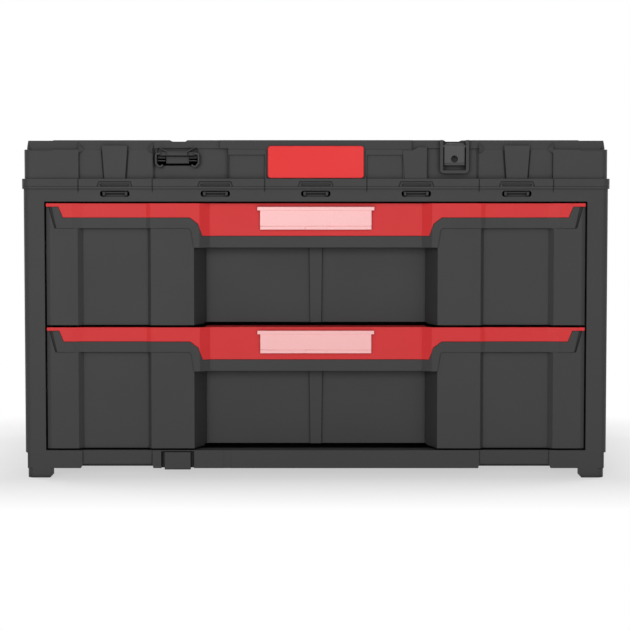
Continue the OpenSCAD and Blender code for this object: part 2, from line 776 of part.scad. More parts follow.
module handle_pin() {
    color("#8A8D90")
    rod_x(handle_w / 2 - arm_w - 1.5, pocket_half + 8, pivot_y, pivot_z, handle_pin_r);
}

// ---------------------------------------------------------------- stacking flap

module stacking_flap() {
    r = 3.2;
    back = flap_pin_y + 2.2;
    foot_z = flap_pin_z - flap_l;
    corner = 2.5;
    top = flap_pin_z + r;
    color("#555555")
    difference() {
        intersection() {
            along_y(cover_front - 6, cover_front + 12)
                polygon(concat(arc([flap_x + flap_w / 2 - corner, top - corner], corner, 0, 90, 4),
                               arc([flap_x - flap_w / 2 + corner, top - corner], corner, 90, 180, 4),
                               [[flap_x - flap_w / 2, foot_z], [flap_x + flap_w / 2, foot_z]]));
            along_x(flap_x - flap_w / 2, flap_x + flap_w / 2)
                polygon(concat(arc([flap_pin_y, flap_pin_z], r, 0, 180, 10),
                               [[flap_pin_y - r, foot_z + 2.5], [flap_pin_y - r - 0.9, foot_z + 0.8],
                                [flap_pin_y - r, foot_z], [back - 1.2, foot_z], [back - 0.4, foot_z + 2],
                                [back - 0.4, flap_pin_z - 6]]));
        }
        rod_x(flap_x - flap_w, flap_x + flap_w, flap_pin_y, flap_pin_z, flap_pin_r + pin_gap);
        rod_y(cover_front - 4, back + 4, flap_x, flap_pin_z - 12.4, flap_hole_d / 2);
    }
}

module flap_pin() {
    color("#8A8D90")
    rod_x(flap_x - flap_pocket_half - 1.8, flap_x + flap_pocket_half + 1.8, flap_pin_y, flap_pin_z, flap_pin_r);
}

// ---------------------------------------------------------------- drawers

// Plan outline of a drawer front from the middle to its end. The middle length of each
// half lies back, and so does the hand recess.
function front_plan(y) = [
    [0, y + recess_d],
    [recess_in, y + recess_d],
    [recess_out, y],
    [facet_a[0], y],
    [facet_a[1], y + panel_step],
    [facet_b[0], y + panel_step],
    [facet_b[1], y],
    [front_half - end_bevel[0], y],
    [front_half, y + end_bevel[1]]];

function flipped(half) = [for (i = [len(half) - 1:-1:0]) half[i]];

// Closed band of plan along such a line, over the whole width
module plan_band(outer, t) {
    band = concat(outer, flipped([for (p = outer) p + [0, t]]));
    polygon(band);
    mirror([1, 0]) polygon(band);
}

// Outlines of the trim and of the border under it, seen from the front, down from the top
trim_x = [front_half - 12.4, front_half - 16.9, recess_out + 3.9, recess_out - 4.2, recess_in + 1.9];
function trim_outline(grow) = mirrored([
    [front_half + 2 * grow, 20 * grow],
    [front_half + 2 * grow, -trim_top_h - grow],
    [trim_x[0] + grow, -trim_top_h - grow],
    [trim_x[1] + grow, -trim_side_h - grow],
    [trim_x[2] + grow, -trim_side_h - grow],
    [trim_x[3] + grow, -trim_side_h - 6.2 - grow],
    [trim_x[4] + grow, -trim_mid_h - grow]]);
border_x = [front_half - 5.6, front_half - 10.3];
function border_outline() = mirrored([
    [border_x[0], 0],
    [border_x[0], -trim_top_h],
    [border_x[1], -trim_side_h - border_h],
    [recess_out + 4.7, -trim_side_h - border_h],
    [recess_out + 2.9, -trim_side_h - border_h - 1.9],
    [recess_out + 0.2, -grip_h]]);

// Grip line: the trim's own facets are wider and shallower than the panels'
grip_in = recess_in - 5.1;
grip_out = recess_out - 5.6;
module grip_band(y, t, x_end) {
    step = panel_step * 0.4;
    plan_band([[0, y + grip_step], [grip_in, y + grip_step], [grip_out, y], [facet_a[0], y],
               [facet_trim[0], y + step], [facet_b[0], y + step], [facet_trim[1], y], [x_end, y]], t);
}

// Grooves beside the sloped ends of the border
module border_groove(top) {
    w = [3.2, 1.8];
    both_sides()
        translate([0, 0, top]) along_y(front_y - over, face_y + 2)
            polygon([[border_x[0], -trim_top_h], [border_x[1], -trim_side_h - border_h],
                     [border_x[1] + w[1], -trim_side_h - border_h], [border_x[0] + w[0], -trim_top_h]]);
}

module tub(z) {
    back = slide_y1 + tub_past;
    floor_at = z + tub_lift;
    rim_at = z + drawer_front_h - tub_drop;
    top = z + drawer_front_h;
    color("#464646") {
        difference() {
            union() {
                // front panels, down to the lower edge
                intersection() {
                    along_z(z, top - over) plan_band(front_plan(face_y), wall);
                    both_sides() box([recess_in + 2, front_y - over, z - over],
                                     [front_half, face_y + recess_d, top]);
                }
                // tub walls, with the recess drawn into them
                along_z(floor_at, rim_at) tub_plan(back);
                // grip band and border over the panels
                grip_moulding(top);
                // flange that closes the grip from above
                along_z(top - 3, top - trim_lid_t) grip_top_plan(front_y + trim_t);
                tapered_rib(z);
            }
            tub_room(floor_at + wall, top + over, back);
            trim_pocket(top);
            border_groove(top);
        }
    }
}

module tub_plan(back) {
    polygon(mirrored([[recess_in, face_y + recess_d], [recess_out, face_y],
                      [facet_a[0], face_y], [facet_a[1], face_y + panel_step],
                      [facet_b[0], face_y + panel_step], [facet_b[1], face_y],
                      [tub_half, face_y], [tub_half, back - 2], [tub_half - 2, back]]));
}

module tub_room(z0, z1, back) {
    y = face_y + wall;
    along_z(z0, z1)
        polygon(mirrored([[recess_in + wall, face_y + recess_d + wall], [recess_out + wall, y],
                          [facet_a[0] - wall / 2, y], [facet_a[1] - wall / 2, y + panel_step],
                          [facet_b[0] + wall / 2, y + panel_step], [facet_b[1] + wall / 2, y],
                          [tub_half - wall, y], [tub_half - wall, back - wall]]));
}

// The dark moulding behind the trim: it shows as the border
module grip_moulding(top) {
    intersection() {
        along_z(top - grip_h, top - trim_lid_t) grip_band(front_y, wall + trim_t, front_half);
        translate([0, 0, top]) along_y(front_y - over, face_y + recess_d) polygon(border_outline());
    }
}

// Seat of the trim, open at the front and top
module trim_pocket(top) {
    intersection() {
        along_z(top - grip_h, top + over) grip_band(front_y - 2 * over, trim_t + 2 * over + 0.05, front_half + over);
        translate([0, 0, top]) along_y(front_y - 2 * over, face_y + recess_d) polygon(trim_outline(0.1));
    }
}

module grip_top_plan(y) {
    polygon(mirrored([[grip_in, y + grip_step], [grip_out, y], [front_half, y], [front_half, face_y + 6],
                      [recess_out + 8, face_y + 6], [recess_in + 4, face_y + recess_d + 1]]));
}

module tapered_rib(z) {
    y = face_y + recess_d;
    along_y(y - 2.4, y + over)
        polygon([[-5.7, z + tub_lift], [5.7, z + tub_lift], [6.75, z + drawer_front_h - grip_h + 14],
                 [-6.75, z + drawer_front_h - grip_h + 14]]);
}

// The trim folds back over the top of the grip as a lid
trim_lid_t = 1.3;
module grip_trim(z) {
    top = z + drawer_front_h;
    color("#D33F40") {
        intersection() {
            along_z(top - grip_h, top) grip_band(front_y, trim_t, front_half);
            translate([0, 0, top]) along_y(front_y - over, face_y + recess_d) polygon(trim_outline(0));
        }
        intersection() {
            along_z(top - trim_lid_t, top) grip_top_plan(front_y + trim_t - over);
            box([-recess_in, front_y, z], [recess_in, face_y + recess_d - 1, top + over]);
        }
    }
}

module label_cover(z) {
    y1 = front_y + grip_step;
    y0 = y1 - label_t;
    top = z + drawer_front_h - 3.6;
    half = label_w / 2;
    color("#F5B9B9") {
        difference() {
            box([-half, y0, top - label_lip_h - label_h], [half, y1, top - label_lip_h + over]);
            // the long ledge and its thumb tab at the lower edge
            box([-half - over, y0 - over, top - label_lip_h - label_h + 3.2],
                [half + over, y0 + 0.5, top - label_lip_h - label_h + 3.7]);
            for (x = [-10.6, 10.6])
                box([x - 0.3, y0 - over, top - label_lip_h - label_h - over],
                    [x + 0.3, y0 + 0.7, top - label_lip_h - label_h + 3.7]);
        }
        box([-half - label_lip_out, y0 - 0.8, top - label_lip_h], [half + label_lip_out, y1, top]);
    }
}

// ---------------------------------------------------------------- slides

// Channel section seen along the slide: u runs from the cabinet to the tub, v up
outer_in = slide_h / 2 - slide_t;
middle_out = outer_in - ball_d - 0.4;
middle_in = middle_out - slide_t;
inner_out = middle_in - ball_d - 0.2;
cage_t = 0.5;                           // thickness of a cage's strips
cage_gap = [0.25, 0.35];                // gaps beside the outer and the inner cage
middle_web = slide_t + cage_t + 2 * cage_gap[0];
drawer_web = middle_web + slide_t + cage_t + 2 * cage_gap[1];
ball_line = [0.472 * slide_w, 0.583 * slide_w];

module cabinet_rail_section() {
    h = slide_h / 2;
    difference() {
        translate([0, -h]) square([slide_w - 1.7, slide_h]);
        translate([slide_t, -outer_in]) square([slide_w, 2 * outer_in]);
    }
    for (s = [-1, 1])
        translate([slide_w - 1.7 - slide_t, s > 0 ? outer_in - 1.8 : -outer_in - over])
            square([slide_t, 1.8 + over]);
}

module middle_rail_section() {
    difference() {
        translate([middle_web, -middle_out]) square([slide_w - 1.7 - middle_web, 2 * middle_out]);
        translate([middle_web + slide_t, -middle_in]) square([slide_w, 2 * middle_in]);
    }
}

module drawer_rail_section() {
    w = slide_w - drawer_web;
    difference() {
        translate([drawer_web, -inner_out]) square([w, 2 * inner_out]);
        translate([drawer_web - over, -inner_out + slide_t])
            square([w + over - slide_t, 2 * (inner_out - slide_t)]);
    }
}

// Placed on one side of the cabinet: section plane to the slide's length
module slide_member(level_z, y0, y1) {
    translate([slide_face, 0, level_z + slide_mid]) mirror([1, 0, 0]) along_y(y0, y1) children();
}

bumper_l = 5;
module cabinet_rail(z) {
    color("#B8BCC0")
    difference() {
        slide_member(z, slide_y0, slide_y1 + bumper_l + 1) cabinet_rail_section();
        for (y = post_places)
            translate([slide_face, y, z + slide_mid]) rotate([0, -90, 0])
                screw_form(pin_gap, 0);
    }
}

module middle_rail(z) {
    color("#B8BCC0") slide_member(z, slide_y0, slide_y1) middle_rail_section();
}

module drawer_rail(z) {
    color("#B8BCC0")
    difference() {
        slide_member(z, slide_y0, slide_y1) drawer_rail_section();
        for (y = post_places)
            rod_x(tub_half - over, tub_half + slide_t + over, y, z + slide_mid, screw_r + pin_gap);
    }
}

// Cage strip with its row of balls above, its mirror image below, and the web between
module cage(z, u_web, u_ball, v_ball) {
    y0 = slide_y0 + slide_l / 2 - cage_l / 2;
    lip = 0.63 * ball_d;
    color("#2E2E30") {
        slide_member(z, y0, y0 + cage_l) {
            translate([u_web, -v_ball - cage_t]) square([cage_t, 2 * (v_ball + cage_t)]);
            for (s = [-1, 1]) translate([u_web, s * v_ball - cage_t]) square([u_ball - u_web + lip, 2 * cage_t]);
        }
        for (i = [0:balls - 1]) for (s = [-1, 1])
            translate([slide_face - u_ball, y0 + (i + 0.5) * cage_l / balls, z + slide_mid + s * v_ball])
                sphere(r = ball_d / 2, $fn = fine);
    }
}

module outer_cage(z) cage(z, slide_t + cage_gap[0], ball_line[0], (outer_in + middle_out) / 2);

module inner_cage(z) cage(z, middle_web + slide_t + cage_gap[1], ball_line[1], (middle_in + inner_out) / 2);

// Countersunk screw pointing along -Z, its head face at web thickness above the rail's back
module screw_form(grow, length) {
    translate([0, 0, -over]) cylinder(h = slide_t + over, r = screw_r + grow, $fn = fine);
    translate([0, 0, slide_t - 1]) cylinder(h = 1, r1 = screw_r + grow, r2 = screw_head_r + grow, $fn = fine);
    if (length > 0) translate([0, 0, -length]) cylinder(h = length, r = screw_r, $fn = fine);
}

module slide_screws() {
    color("#8A8D90")
    both_sides() for (z = [lower_z, upper_z]) for (y = post_places)
        translate([slide_face, y, z + slide_mid]) rotate([0, -90, 0]) screw_form(0, 7);
}

// Screws through a tub's walls into its two drawer rails, heads inside the tub
module tub_screws(z) {
    head = 1.6;
    color("#8A8D90")
    both_sides() for (y = post_places) {
        rod_x(tub_half - wall - over, tub_half + slide_t, y, z + slide_mid, screw_r);
        rod_x(tub_half - wall - head, tub_half - wall, y, z + slide_mid, screw_head_r);
    }
}

// Rubber blocks that stop and grip the closed slides
module slide_bumpers() {
    color("#222222")
    both_sides() for (z = [lower_z, upper_z])
        slide_member(z, slide_y1 + near, slide_y1 + bumper_l)
            translate([slide_t, -12]) square([slide_w - slide_t - 2.2, 24]);
}

module drilled_tub(z) {
    difference() {
        tub(z);
        both_sides() for (y = post_places)
            rod_x(tub_half - wall - over, tub_half + over, y, z + slide_mid, screw_r + pin_gap);
    }
}

// One slide part by its name
module slide_piece(kind, z) {
    if (kind == "cabinet_rail") cabinet_rail(z);
    if (kind == "outer_cage") outer_cage(z);
    if (kind == "middle_rail") middle_rail(z);
    if (kind == "inner_cage") inner_cage(z);
    if (kind == "drawer_rail") drawer_rail(z);
}

// ---------------------------------------------------------------- the box

cabinet_shell();
top_cover();
name_plate();
coupler_bracket();
stack_hook();
carry_handle();
handle_grip();
mirror([1, 0, 0]) handle_pin();  // left_handle_pin
handle_pin();  // right_handle_pin
stacking_flap();
flap_pin();
slide_screws();
slide_bumpers();
for (level = [["upper", upper_z], ["lower", lower_z]]) {
    drilled_tub(level[1]);
    grip_trim(level[1]);
    label_cover(level[1]);
    tub_screws(level[1]);
    for (kind = ["cabinet_rail", "outer_cage", "middle_rail", "inner_cage", "drawer_rail"]) {
        slide_piece(kind, level[1]);
        mirror([1, 0, 0]) slide_piece(kind, level[1]);
    }
}
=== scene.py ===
# %% [markdown]
# # A portable tool box with two drawers
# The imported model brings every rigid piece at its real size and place. This lesson gives each surface the
# finish of its real material, rounds the edges of the pieces that show as their moulds do, and builds a
# plain studio round the box. The frame is loaded first, and nothing in it is ever moved. Blender counts
# in metres and the box was designed in millimetres, so MM turns one into the other.

# %% Load the frame
import bpy
import json
import math
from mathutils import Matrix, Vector


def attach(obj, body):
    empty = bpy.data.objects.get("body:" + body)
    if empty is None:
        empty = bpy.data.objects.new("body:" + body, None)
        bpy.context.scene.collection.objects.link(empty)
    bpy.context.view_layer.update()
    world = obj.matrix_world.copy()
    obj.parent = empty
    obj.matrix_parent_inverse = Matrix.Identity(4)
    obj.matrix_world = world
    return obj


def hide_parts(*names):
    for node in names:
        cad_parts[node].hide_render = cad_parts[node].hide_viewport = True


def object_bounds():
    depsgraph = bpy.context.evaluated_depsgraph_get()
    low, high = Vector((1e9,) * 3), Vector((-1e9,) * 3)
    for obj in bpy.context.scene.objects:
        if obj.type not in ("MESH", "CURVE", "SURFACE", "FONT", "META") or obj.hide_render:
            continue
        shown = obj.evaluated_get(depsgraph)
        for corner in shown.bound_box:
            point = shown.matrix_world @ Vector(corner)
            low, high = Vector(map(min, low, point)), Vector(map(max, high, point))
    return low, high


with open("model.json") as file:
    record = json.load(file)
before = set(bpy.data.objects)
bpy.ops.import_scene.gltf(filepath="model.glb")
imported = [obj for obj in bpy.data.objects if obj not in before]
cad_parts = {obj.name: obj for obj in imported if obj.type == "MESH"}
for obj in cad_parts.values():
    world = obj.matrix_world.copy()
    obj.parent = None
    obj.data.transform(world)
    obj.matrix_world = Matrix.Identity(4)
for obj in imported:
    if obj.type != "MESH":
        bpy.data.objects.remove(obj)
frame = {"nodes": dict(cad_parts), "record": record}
cad_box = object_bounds()
MM = 0.001

# %% [markdown]
# ## Helpers for materials
# Colours are written as the sRGB hex values that a colour picker shows. Blender's sockets want linear
# light, so one function turns them. One more function adds a node, sets its values and makes its links,
# which keeps each material readable from top to bottom. A Mix node has sockets of the same name for
# numbers, vectors and colours, so those for colours are picked by their number.

# %% Colour and node helpers
MIX_SHARE, MIX_FIRST, MIX_SECOND = 0, 6, 7      # inputs of a Mix node that blends two colours
MIX_RESULT = 2                                  # and its output
WHITE = (1.0, 1.0, 1.0, 1.0)


def linear(hex_colour):
    channels = [int(hex_colour[i:i + 2], 16) / 255 for i in (1, 3, 5)]
    return tuple(c / 12.92 if c <= 0.04045 else ((c + 0.055) / 1.055) ** 2.4 for c in channels) + (1.0,)


def add(tree, kind, values=None, links=None, **settings):
    node = tree.nodes.new(kind)
    for name, value in settings.items():
        setattr(node, name, value)
    for key, value in (values or {}).items():
        node.inputs[key].default_value = value
    for key, socket in (links or {}).items():
        tree.links.new(socket, node.inputs[key])
    return node


def new_material(name):
    material = bpy.data.materials.new(name)
    material.use_nodes = True
    tree = material.node_tree
    tree.nodes.clear()
    return material, tree


def finish_material(tree, shader):
    add(tree, "ShaderNodeOutputMaterial", links={"Surface": shader.outputs[0]})


print("red in linear light", [round(c, 3) for c in linear("#CD3032")])

# %% [markdown]
# ## Spark-eroded polypropylene
# The cabinet, cover and drawers are injection-moulded polypropylene. The steel mould is spark-eroded, so
# the plastic comes out with a fine, dull grain that scatters light and hides scratches. Three things break
# the evenness: a slow cloudiness where the melt cooled unevenly, a few pale rubs, and painted shade in the
# grooves. A photograph of grained plastic could be wrapped round each piece, but it would need a seam
# somewhere and would repeat. Noise fills space without either. A slow noise drives the colour, a stretched
# one the rubs and a fine one the bump, and the occlusion node finds the grooves from the shape itself, so
# that their shade is painted into the colour. The real pits are a few tenths of a millimetre apart, too fine
# to show from two metres away, so they are drawn a few times as coarse.

# %% Clouds and rubs
RUB_LENGTH = 22 * MM
RUB_SQUEEZE = (1.0, 1.0, 7.0)     # a rub is seven times as long as it is high
RUB_TURN = (0.0, 0.35, 0.2)       # radians, so that no rub lies quite level
RUB_SHARE = 0.22             # share of the pale colour in the middle of a rub


def rubbed_colour(tree, place, cloud, colour, shade, rub):
    clouded = add(tree, "ShaderNodeMix", {MIX_FIRST: linear(colour), MIX_SECOND: linear(shade)},
                  {MIX_SHARE: cloud}, data_type="RGBA")
    squeezed = add(tree, "ShaderNodeMapping", {"Scale": RUB_SQUEEZE, "Rotation": RUB_TURN}, {"Vector": place})
    streak = add(tree, "ShaderNodeTexNoise", {"Scale": 1 / RUB_LENGTH, "Detail": 6.0, "Roughness": 0.7},
                 {"Vector": squeezed.outputs[0]})
    peaks = add(tree, "ShaderNodeMapRange", {"From Min": 0.66, "From Max": 0.8, "To Max": RUB_SHARE},
                {"Value": streak.outputs["Fac"]})
    rubbed = add(tree, "ShaderNodeMix", {MIX_SECOND: linear(rub)},
                 {MIX_SHARE: peaks.outputs[0], MIX_FIRST: clouded.outputs[MIX_RESULT]}, data_type="RGBA")
    return rubbed.outputs[MIX_RESULT]


# %% Painted shade in grooves
GROOVE_SHADE_REACH = 6 * MM        # how far the painted shade of a groove reaches
GROOVE_SHADE_SHARE = 0.95          # share of the painted shade's colour at the bottom of a groove
# painted shade: the colours laid into the grooves of black and of red plastic, where shade falls
BLACK_GROOVE_SHADE = "#0E0E0E"
RED_GROOVE_SHADE = "#7A0A0C"


def painted_groove_shade(tree, face_colour, groove_shade):
    # the occlusion node finds the grooves, and the shade that falls in them is painted into the colour
    hollow = add(tree, "ShaderNodeAmbientOcclusion", {"Distance": GROOVE_SHADE_REACH}, samples=8)
    depth = add(tree, "ShaderNodeMapRange",
                {"From Min": 0.25, "From Max": 0.92, "To Min": GROOVE_SHADE_SHARE, "To Max": 0.0},
                {"Value": hollow.outputs["AO"]})
    shaded = add(tree, "ShaderNodeMix", {MIX_SECOND: linear(groove_shade)},
                   {MIX_SHARE: depth.outputs[0], MIX_FIRST: face_colour}, data_type="RGBA")
    return shaded.outputs[MIX_RESULT]


# %% Moulded plastic
CLOUD_SIZE = 55 * MM         # a patch where the melt cooled alike
PIT_DEPTH = 0.05 * MM
DULLNESS_SPREAD = 0.04       # how far the roughness strays to either side
SHINE = 0.15                 # specular level: a grained face reflects little


def moulded_plastic(name, colour, shade, rub, roughness, grain_mm=0.9, bump=0.25, groove_shade=BLACK_GROOVE_SHADE):
    material, tree = new_material(name)
    place = add(tree, "ShaderNodeTexCoord").outputs["Object"]
    cloud = add(tree, "ShaderNodeTexNoise", {"Scale": 1 / CLOUD_SIZE, "Detail": 3.0, "Roughness": 0.55},
                {"Vector": place}).outputs["Fac"]
    rubbed = rubbed_colour(tree, place, cloud, colour, shade, rub)
    # the grooves get painted shade
    base = painted_groove_shade(tree, rubbed, groove_shade)
    dull = add(tree, "ShaderNodeMapRange",
               {"From Min": 0.3, "From Max": 0.7,
                "To Min": roughness - DULLNESS_SPREAD, "To Max": roughness + DULLNESS_SPREAD},
               {"Value": cloud})
    grit = add(tree, "ShaderNodeTexNoise", {"Scale": 1 / (grain_mm * MM), "Detail": 2.0, "Roughness": 0.6},
               {"Vector": place})
    relief = add(tree, "ShaderNodeBump", {"Strength": bump, "Distance": PIT_DEPTH},
                 {"Height": grit.outputs["Fac"]})
    shader = add(tree, "ShaderNodeBsdfPrincipled", {"Specular IOR Level": SHINE, "IOR": 1.49},
                 {"Base Color": base, "Roughness": dull.outputs[0], "Normal": relief.outputs[0]})
    finish_material(tree, shader)
    return material


# %% [markdown]
# ## The plastics of the box
# The large mouldings are all of one black polypropylene, and the grip trims of the same in red. The plate
# is a smooth ABS with hardly any grain. Bracket, flap, handle and ball cages are nylon, which is stronger
# and comes out of the mould a little smoother. The handle's sleeve and the slides' bumpers are a soft,
# dull rubber. They could share one material with a colour for each piece, but their grain and dullness
# differ, so each has its own.

# %% Each plastic's colour and grain
MOULDED_BLACK = ("#393939", "#3C3C3C")
# name, colour, its cloudy shade, its rubs and its roughness
materials = {
    "cabinet_plastic": moulded_plastic("cabinet_polypropylene", *MOULDED_BLACK, "#484848", 0.55),
    "cover_plastic": moulded_plastic("cover_polypropylene", *MOULDED_BLACK, "#484848", 0.55),
    "drawer_plastic": moulded_plastic("drawer_polypropylene", *MOULDED_BLACK, "#464646", 0.55),
    # the red plastics take a red painted shade in their grooves
    "red_plastic": moulded_plastic("red_polypropylene", "#CD3032", "#D03537", "#D85656", 0.5,
                                   grain_mm=0.7, bump=0.12, groove_shade=RED_GROOVE_SHADE),
    "plate_plastic": moulded_plastic("plate_abs", "#E22D2E", "#E43031", "#E53132", 0.45,
                                     grain_mm=1.5, bump=0.02, groove_shade=RED_GROOVE_SHADE),
    "bracket_plastic": moulded_plastic("bracket_nylon", "#323232", "#363636", "#444444", 0.48,
                                       grain_mm=0.6, bump=0.15),
    "flap_plastic": moulded_plastic("flap_nylon", "#484848", "#4C4C4C", "#585858", 0.5,
                                    grain_mm=0.6, bump=0.15),
    "handle_plastic": moulded_plastic("handle_nylon", "#363636", "#3A3A3A", "#484848", 0.5,
                                      grain_mm=0.6, bump=0.15),
    "cage_plastic": moulded_plastic("cage_nylon", "#2C2C2E", "#323234", "#404042", 0.4,
                                    grain_mm=0.5, bump=0.1),
    "soft_rubber": moulded_plastic("grip_rubber", "#272727", "#2C2C2C", "#383838", 0.8,
                                   grain_mm=1.2, bump=0.4),
}
print("plastics", len(materials))

# %% [markdown]
# ## Zinc-plated rolled steel
# The slides are rolled from strip and zinc plated: a pale, slightly blue metal whose sheen is drawn out
# along the rolling direction, front to back. An anisotropic shader would draw out the sheen alone, while
# noise stretched along Y also gives the fine rolling lines, here coarser than the real ones so that they
# show. A slow noise makes the clouds of the plating. The screws and pins are of the same steel with a
# black zinc coat, as makers choose them for black mouldings.

# %% Plated steel
ROLLED_LINE = 0.6 * MM       # from one rolling line to the next
ROLLED_STRETCH = (1.0, 0.02, 1.0)     # a line is fifty times as long as it is wide
ROLLED_DEPTH = 0.02 * MM
PLATING_CLOUD = 14 * MM
BRIGHTER, DULLER = 0.08, 0.1      # how far the roughness falls and rises from line to line


def plated_steel(name, colour, stain, roughness):
    material, tree = new_material(name)
    place = add(tree, "ShaderNodeTexCoord").outputs["Object"]
    drawn = add(tree, "ShaderNodeMapping", {"Scale": ROLLED_STRETCH}, {"Vector": place})
    lines = add(tree, "ShaderNodeTexNoise", {"Scale": 1 / ROLLED_LINE, "Detail": 3.0},
                {"Vector": drawn.outputs[0]}).outputs["Fac"]
    cloud = add(tree, "ShaderNodeTexNoise", {"Scale": 1 / PLATING_CLOUD, "Detail": 4.0}, {"Vector": place})
    tint = add(tree, "ShaderNodeMix", {MIX_FIRST: linear(colour), MIX_SECOND: linear(stain)},
               {MIX_SHARE: cloud.outputs["Fac"]}, data_type="RGBA")
    dull = add(tree, "ShaderNodeMapRange", {"To Min": roughness - BRIGHTER, "To Max": roughness + DULLER},
               {"Value": lines})
    relief = add(tree, "ShaderNodeBump", {"Strength": 0.2, "Distance": ROLLED_DEPTH}, {"Height": lines})
    shader = add(tree, "ShaderNodeBsdfPrincipled", {"Metallic": 1.0},
                 {"Base Color": tint.outputs[MIX_RESULT], "Roughness": dull.outputs[0],
                  "Normal": relief.outputs[0]})
    finish_material(tree, shader)
    return material


materials["slide_steel"] = plated_steel("slide_zinc_steel", "#C4C8CC", "#A9AEB4", 0.32)
materials["zinc_steel"] = plated_steel("screw_zinc_steel", "#4A4C4F", "#3A3C3F", 0.42)
print("metals", materials["slide_steel"].name, materials["zinc_steel"].name)

# %% [markdown]
# ## Frosted label cover
# The label cover is moulded from clear polypropylene with a frosted face. Light enters it, scatters and
# comes back pale, and a share goes through to the red trim behind, which is why it looks pink. A rough
# glass would follow the light through it, slowly and with speckles. Here that pink is painted light in a
# pale plastic's colour, with a small see-through share, and its fine frost is drawn coarse enough to show.

# %% Frosted plastic
FROST_GRAIN = 0.8 * MM
FROST_DEPTH = 0.03 * MM
CLEAR_SHARE = 0.08           # share of the light that goes straight through


def frosted_plastic(name, colour):
    material, tree = new_material(name)
    place = add(tree, "ShaderNodeTexCoord").outputs["Object"]
    frost = add(tree, "ShaderNodeTexNoise", {"Scale": 1 / FROST_GRAIN, "Detail": 2.0},
                {"Vector": place}).outputs["Fac"]
    relief = add(tree, "ShaderNodeBump", {"Strength": 0.1, "Distance": FROST_DEPTH}, {"Height": frost})
    haze = add(tree, "ShaderNodeMapRange", {"To Min": 0.22, "To Max": 0.36}, {"Value": frost})
    pale = add(tree, "ShaderNodeBsdfPrincipled",
               {"Base Color": linear(colour), "IOR": 1.49, "Alpha": 1 - CLEAR_SHARE},
               {"Roughness": haze.outputs[0], "Normal": relief.outputs[0]})
    finish_material(tree, pale)
    return material


# its pink is painted light: the red of the trim behind, coming back through the frost
materials["label_plastic"] = frosted_plastic("label_frosted_polypropylene_painted_pink", "#FBBABA")
print("see-through share", CLEAR_SHARE)

# %% [markdown]
# ## Every node gets its finish
# The record says which material slot each node belongs to. Each node could be dressed by hand, but one
# loop over the record can't forget one. The copies that are made next take the finish along.

# %% Finishes to nodes
slot_of = {entry["node"]: entry["material_slot"] for entry in frame["record"]["subparts"]}
for name, node in frame["nodes"].items():
    node.data.materials.clear()
    node.data.materials.append(materials[slot_of[name]])
print("materials given to", len(slot_of), "nodes")

# %% [markdown]
# ## Soft edges
# No moulded edge is sharp: the mould's cutter leaves a radius of a few tenths of a millimetre, and it is
# this thin band that catches the light. A bevel node could paint the band, but the mesh would stay sharp,
# so the edges are really cut. A copy of each moulding that shows gets its loose triangles merged and its
# flat faces joined. Then every edge that turns by more than 25 degrees, and whose ends have room for it,
# gets a narrow bevel. One bevel over the whole piece would shrink to fit the smallest detail, so the edges
# are picked one by one with a bevel weight. A second mark keeps the creases between wide facets crisp,
# while the narrow strips of a rounded corner still blend into each other. Last, weighted normals let each
# large flat face keep its own shading right up to its bevels. The slides, cages, screws, pins and bumpers
# keep their own meshes, because their edges are too fine to show.

# %% Marks on the edges
BEVEL_TURN = math.radians(25)     # an edge that turns by more than this is rounded
BEVEL_ROOM = 2.2             # where each edge that meets it is over this many radii long
SHARP_TURN = math.radians(31)     # an edge that turns by more than this is a crease
CREASE_TURN = math.radians(5)     # and between wide facets, one that turns by more than this
FACET_WIDTH = 3.2 * MM       # a strip narrower than this is part of a rounded corner
SHORTEST = 1 * MM            # an edge counts as this long at least when a facet's width is worked out


def mark_edges(mesh, radius):
    beside = {}
    for polygon in mesh.polygons:
        for key in polygon.edge_keys:
            beside.setdefault(key, []).append(polygon)
    length = {edge.key: (mesh.vertices[edge.key[0]].co - mesh.vertices[edge.key[1]].co).length
              for edge in mesh.edges}
    room = [math.inf] * len(mesh.vertices)
    for key, reach in length.items():
        for corner in key:
            room[corner] = min(room[corner], reach)
    weight = mesh.attributes.new("bevel_weight_edge", "FLOAT", "EDGE")
    marked = 0
    for edge in mesh.edges:
        pair = beside.get(edge.key, [])
        if len(pair) != 2:
            continue
        turn = pair[0].normal.angle(pair[1].normal, 0.0)
        wide = min(polygon.area for polygon in pair) / max(length[edge.key], SHORTEST) > FACET_WIDTH
        edge.use_edge_sharp = turn > SHARP_TURN or (turn > CREASE_TURN and wide)
        if turn > BEVEL_TURN and min(room[corner] for corner in edge.key) > BEVEL_ROOM * radius:
            weight.data[edge.index].value = 1.0
            marked += 1
    return marked


# %% A rounded copy of a node
WELD = 0.005 * MM            # corners closer than this are one
FLAT_TURN = math.radians(0.5)     # faces that turn by less than this are one flat face
BEVEL_SEGMENTS = 2
body_of = {node: body for body, nodes in frame["record"]["behaviour"]["bodies"].items() for node in nodes}


def only(piece):
    bpy.ops.object.select_all(action="DESELECT")
    piece.select_set(True)
    bpy.context.view_layer.objects.active = piece


def soft_copy(name, radius):
    piece = bpy.data.objects.new(name + "_soft", frame["nodes"][name].data.copy())
    bpy.context.scene.collection.objects.link(piece)
    only(piece)
    bpy.ops.object.mode_set(mode="EDIT")
    bpy.ops.mesh.select_all(action="SELECT")
    bpy.ops.mesh.remove_doubles(threshold=WELD)
    bpy.ops.mesh.dissolve_limited(angle_limit=FLAT_TURN)
    bpy.ops.object.mode_set(mode="OBJECT")
    bpy.ops.object.shade_smooth()
    marked = mark_edges(piece.data, radius)
    bevel = piece.modifiers.new("edge_radius", "BEVEL")
    bevel.width = radius
    bevel.segments = BEVEL_SEGMENTS
    bevel.limit_method = "WEIGHT"
    bevel.use_clamp_overlap = False
    bpy.ops.object.modifier_apply(modifier=bevel.name)
    flat = piece.modifiers.new("flat_faces", "WEIGHTED_NORMAL")
    flat.keep_sharp = True
    bpy.ops.object.modifier_apply(modifier=flat.name)
    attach(piece, body_of[name])
    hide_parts(name)
    print(piece.name, marked, "edges bevelled,", len(piece.data.polygons), "faces")


